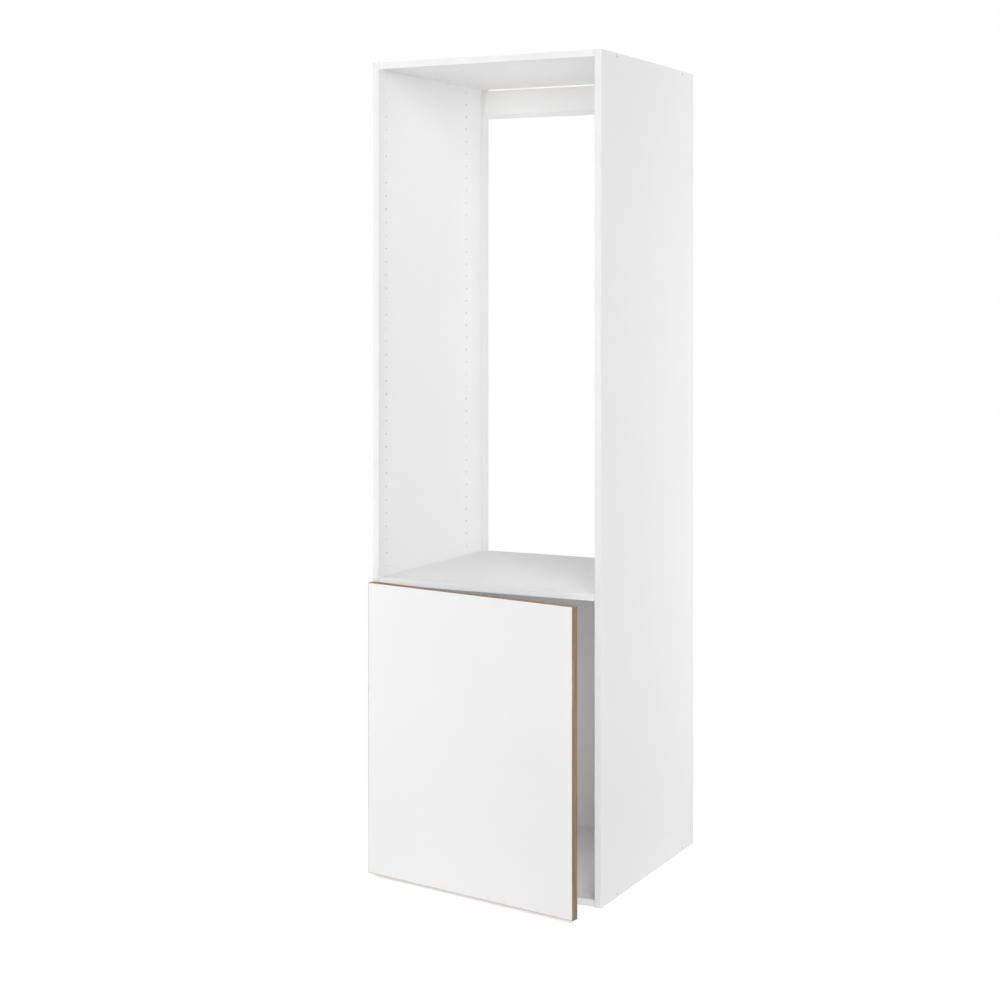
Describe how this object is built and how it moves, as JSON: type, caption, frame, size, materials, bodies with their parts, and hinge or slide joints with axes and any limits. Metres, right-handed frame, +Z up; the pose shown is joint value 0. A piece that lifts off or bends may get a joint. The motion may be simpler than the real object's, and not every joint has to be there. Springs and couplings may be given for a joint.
{
  "type": "fridge housing unit",
  "caption": "Tall white housing cabinet: open appliance niche above, vent gap behind the top panel, and a low compartment behind a left-hung door that stands ajar.",
  "frame": {"origin": "on the floor, at the middle of the carcass's footprint, on the underside of the bottom panel", "axes": "+Z up, +X to the right seen from the front, -Y out of the front"},
  "size_m": [0.6, 0.7071, 1.952],
  "materials": {
    "white_melamine": "satin white melamine on chipboard",
    "white_edge_band": "satin",
    "oak_edge_band": "fine-grained oak, matt",
    "white_hardboard": "matt white lacquered hardboard",
    "beech": "fluted, unfinished",
    "zinc_plated_steel": "bright zinc plate",
    "nickel_plated_steel": "nickel plate",
    "clear_bumper": "soft, milky clear"
  },
  "bodies": {
    "cabinet": {"side_left": "white_melamine", "side_right": "white_melamine", "top_panel": "white_melamine", "mid_shelf": "white_melamine", "bottom_panel": "white_melamine", "top_back_rail": "white_melamine", "edge_band_side_left": "white_edge_band", "edge_band_side_right": "white_edge_band", "edge_band_top_panel": "white_edge_band", "edge_band_mid_shelf": "white_edge_band", "edge_band_bottom_panel": "white_edge_band", "back_panel": "white_hardboard", "screw_bottom_left_front": "zinc_plated_steel", "screw_bottom_left_rear": "zinc_plated_steel", "screw_top_left_front": "zinc_plated_steel", "screw_top_left_rear": "zinc_plated_steel", "screw_bottom_right_front": "zinc_plated_steel", "screw_bottom_right_rear": "zinc_plated_steel", "screw_top_right_front": "zinc_plated_steel", "screw_top_right_rear": "zinc_plated_steel", "cam_left_front": "zinc_plated_steel", "cam_left_rear": "zinc_plated_steel", "cam_right_front": "zinc_plated_steel", "cam_right_rear": "zinc_plated_steel", "cam_bolt_left_front": "zinc_plated_steel", "cam_bolt_left_rear": "zinc_plated_steel", "cam_bolt_right_front": "zinc_plated_steel", "cam_bolt_right_rear": "zinc_plated_steel", "dowel_rail_left_lower": "beech", "dowel_rail_left_upper": "beech", "dowel_rail_right_lower": "beech", "dowel_rail_right_upper": "beech", "hinge_arm_lower": "nickel_plated_steel", "hinge_arm_upper": "nickel_plated_steel", "hinge_plate_lower": "nickel_plated_steel", "hinge_plate_upper": "nickel_plated_steel", "plate_screw_lower_lower": "nickel_plated_steel", "plate_screw_lower_upper": "nickel_plated_steel", "plate_screw_upper_lower": "nickel_plated_steel", "plate_screw_upper_upper": "nickel_plated_steel", "adjusting_screw_lower": "nickel_plated_steel", "fixing_screw_lower": "nickel_plated_steel", "adjusting_screw_upper": "nickel_plated_steel", "fixing_screw_upper": "nickel_plated_steel"},
    "door": {"door_panel": "white_melamine", "door_band_left": "oak_edge_band", "door_band_right": "oak_edge_band", "door_band_bottom": "oak_edge_band", "door_band_top": "oak_edge_band", "door_bumper_lower": "clear_bumper", "door_bumper_upper": "clear_bumper", "hinge_cup_lower": "nickel_plated_steel", "hinge_cup_upper": "nickel_plated_steel", "hinge_pin_lower": "nickel_plated_steel", "hinge_pin_upper": "nickel_plated_steel", "cup_screw_lower_lower": "nickel_plated_steel", "cup_screw_lower_upper": "nickel_plated_steel", "cup_screw_upper_lower": "nickel_plated_steel", "cup_screw_upper_upper": "nickel_plated_steel"}
  },
  "joints": [
    {"name": "door_hinge", "type": "hinge", "parent": "cabinet", "child": "door", "pos_m": [-0.2914, -0.3025, 0.353], "axis": [0, 0, -1], "range_deg": [-10.2, 84.8]}
  ]
}
